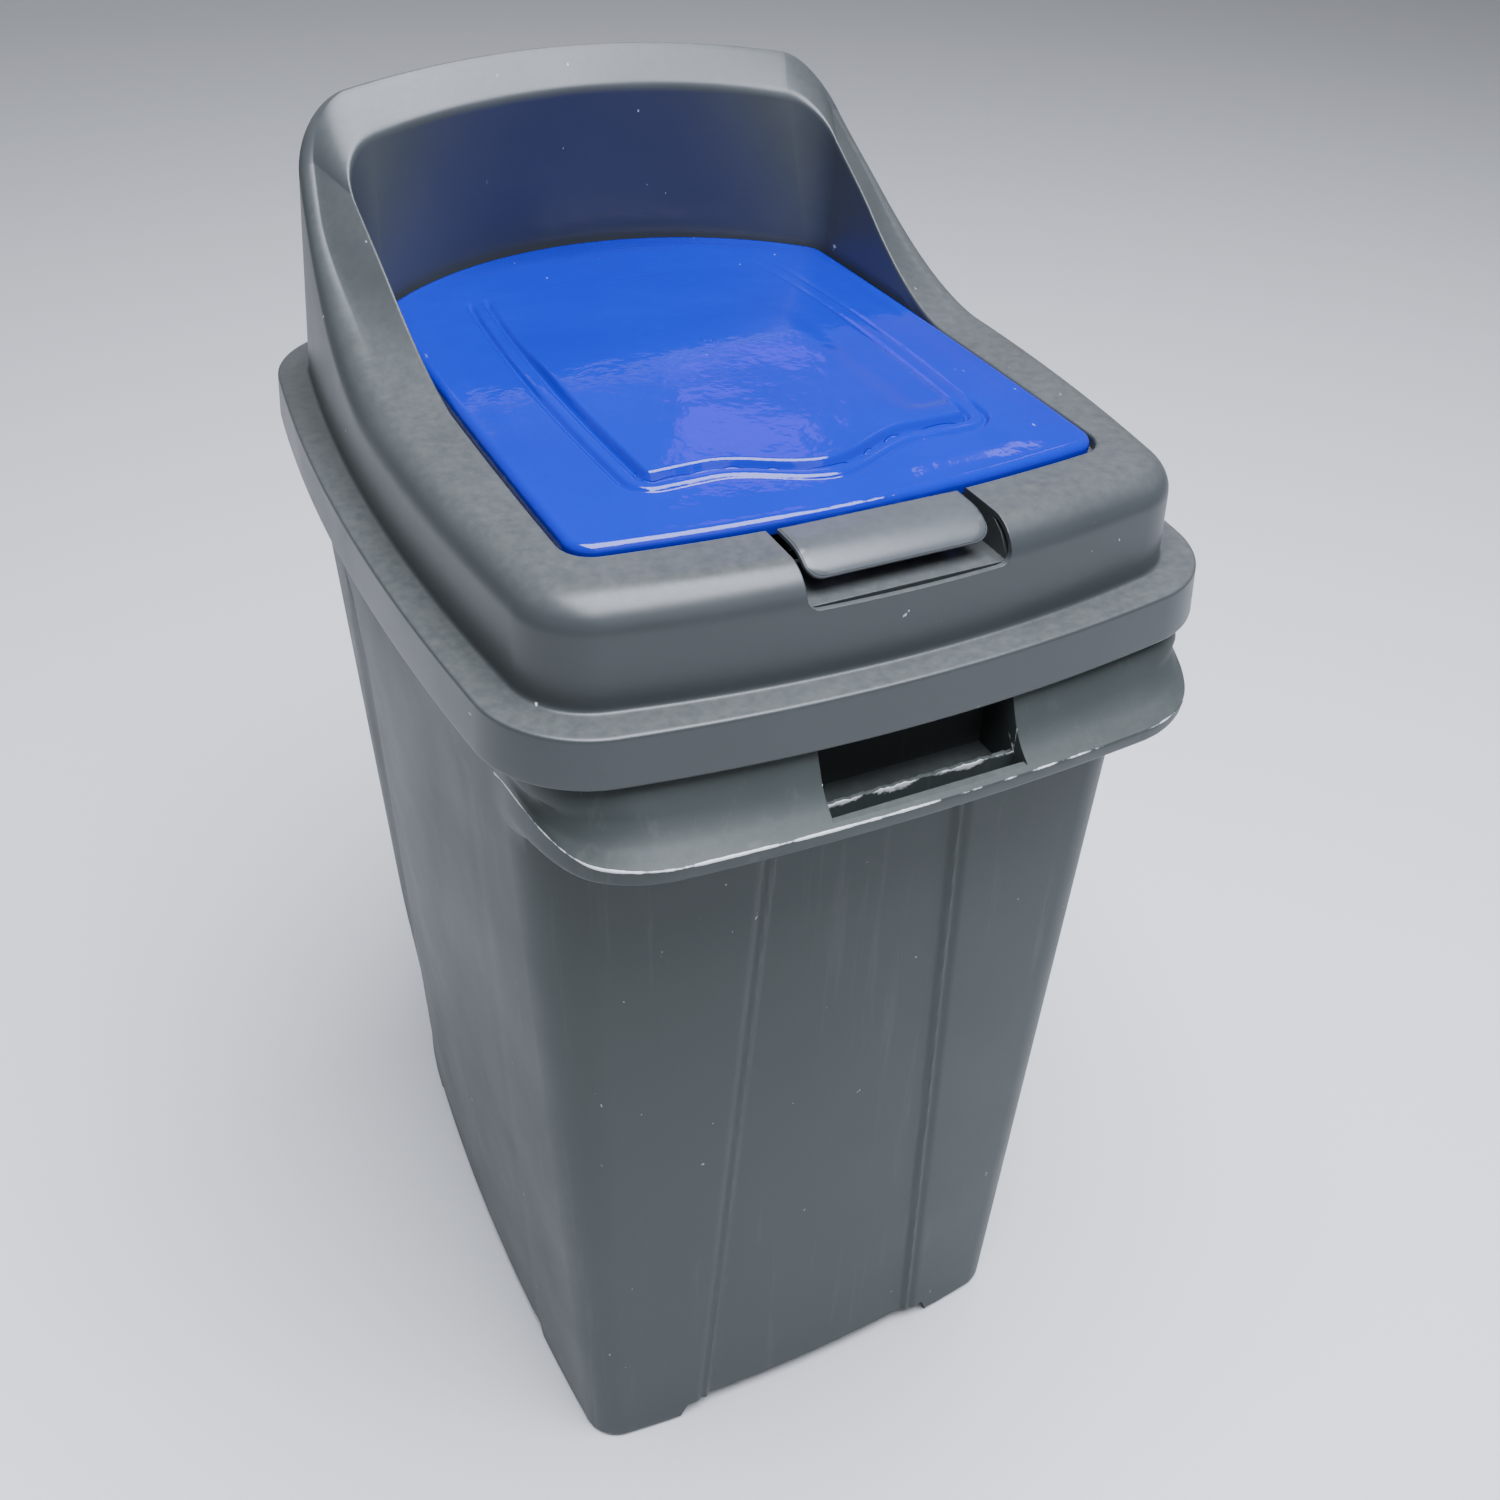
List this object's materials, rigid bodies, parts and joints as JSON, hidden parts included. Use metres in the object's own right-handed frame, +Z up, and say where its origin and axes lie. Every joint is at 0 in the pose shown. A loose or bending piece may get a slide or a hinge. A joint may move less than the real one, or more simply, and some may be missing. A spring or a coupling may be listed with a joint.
{
  "type": "wheelie bin",
  "caption": "Tapered bin on four feet with two rear wheels, a lift-off hooded lid, a hinged flap with a sprung catch lever, and hand grips at the front and rear.",
  "frame": {"origin": "on the ground at the middle of the plan box", "axes": "+Z up, -Y towards the front of the bin where the catch lever is, +X to the right seen from the front"},
  "size_m": [0.44, 0.576, 0.848],
  "materials": {
    "grey_shell": "satin moulded",
    "grey_lid": "satin moulded",
    "grey_lever": "semi-gloss moulded",
    "blue_flap": "high gloss moulded",
    "dark_plastic": "moulded",
    "black_rubber": "matt rubber",
    "zinc_steel": "zinc plated"
  },
  "bodies": {
    "tub": {"bin_body": "grey_shell", "axle": "zinc_steel", "spacer_washer_left": "dark_plastic", "spacer_washer_right": "dark_plastic", "star_retainer_left": "zinc_steel", "star_retainer_right": "zinc_steel"},
    "hood": {"lid_hood": "grey_lid", "hinge_pin_left": "dark_plastic", "hinge_pin_right": "dark_plastic"},
    "flap": {"flap": "blue_flap", "catch_pin": "zinc_steel", "catch_spring": "zinc_steel"},
    "lever": {"catch_lever": "grey_lever"},
    "wheel_left": {"wheel_hub_left": "dark_plastic", "tyre_left": "black_rubber", "hub_cap_left": "dark_plastic"},
    "wheel_right": {"wheel_hub_right": "dark_plastic", "tyre_right": "black_rubber", "hub_cap_right": "dark_plastic"}
  },
  "joints": [
    {"name": "hood_lift", "type": "slide", "parent": "tub", "child": "hood", "axis": [0, 0, 1], "range_m": [0, 0.12]},
    {"name": "flap_hinge", "type": "hinge", "parent": "hood", "child": "flap", "pos_m": [0, 0.11, 0.709], "axis": [-1, 0, 0], "range_deg": [0, 102]},
    {"name": "catch_pivot", "type": "hinge", "parent": "flap", "child": "lever", "pos_m": [0, -0.204, 0.714], "axis": [-1, 0, 0], "range_deg": [0, 10], "stiffness_Nm_per_rad": 0.05, "springref_deg": -17.19},
    {"name": "wheel_left_spin", "type": "hinge", "parent": "tub", "child": "wheel_left", "pos_m": [-0.129, 0.168, 0.051], "axis": [1, 0, 0], "continuous": true},
    {"name": "wheel_right_spin", "type": "hinge", "parent": "tub", "child": "wheel_right", "pos_m": [0.129, 0.168, 0.051], "axis": [1, 0, 0], "continuous": true}
  ]
}
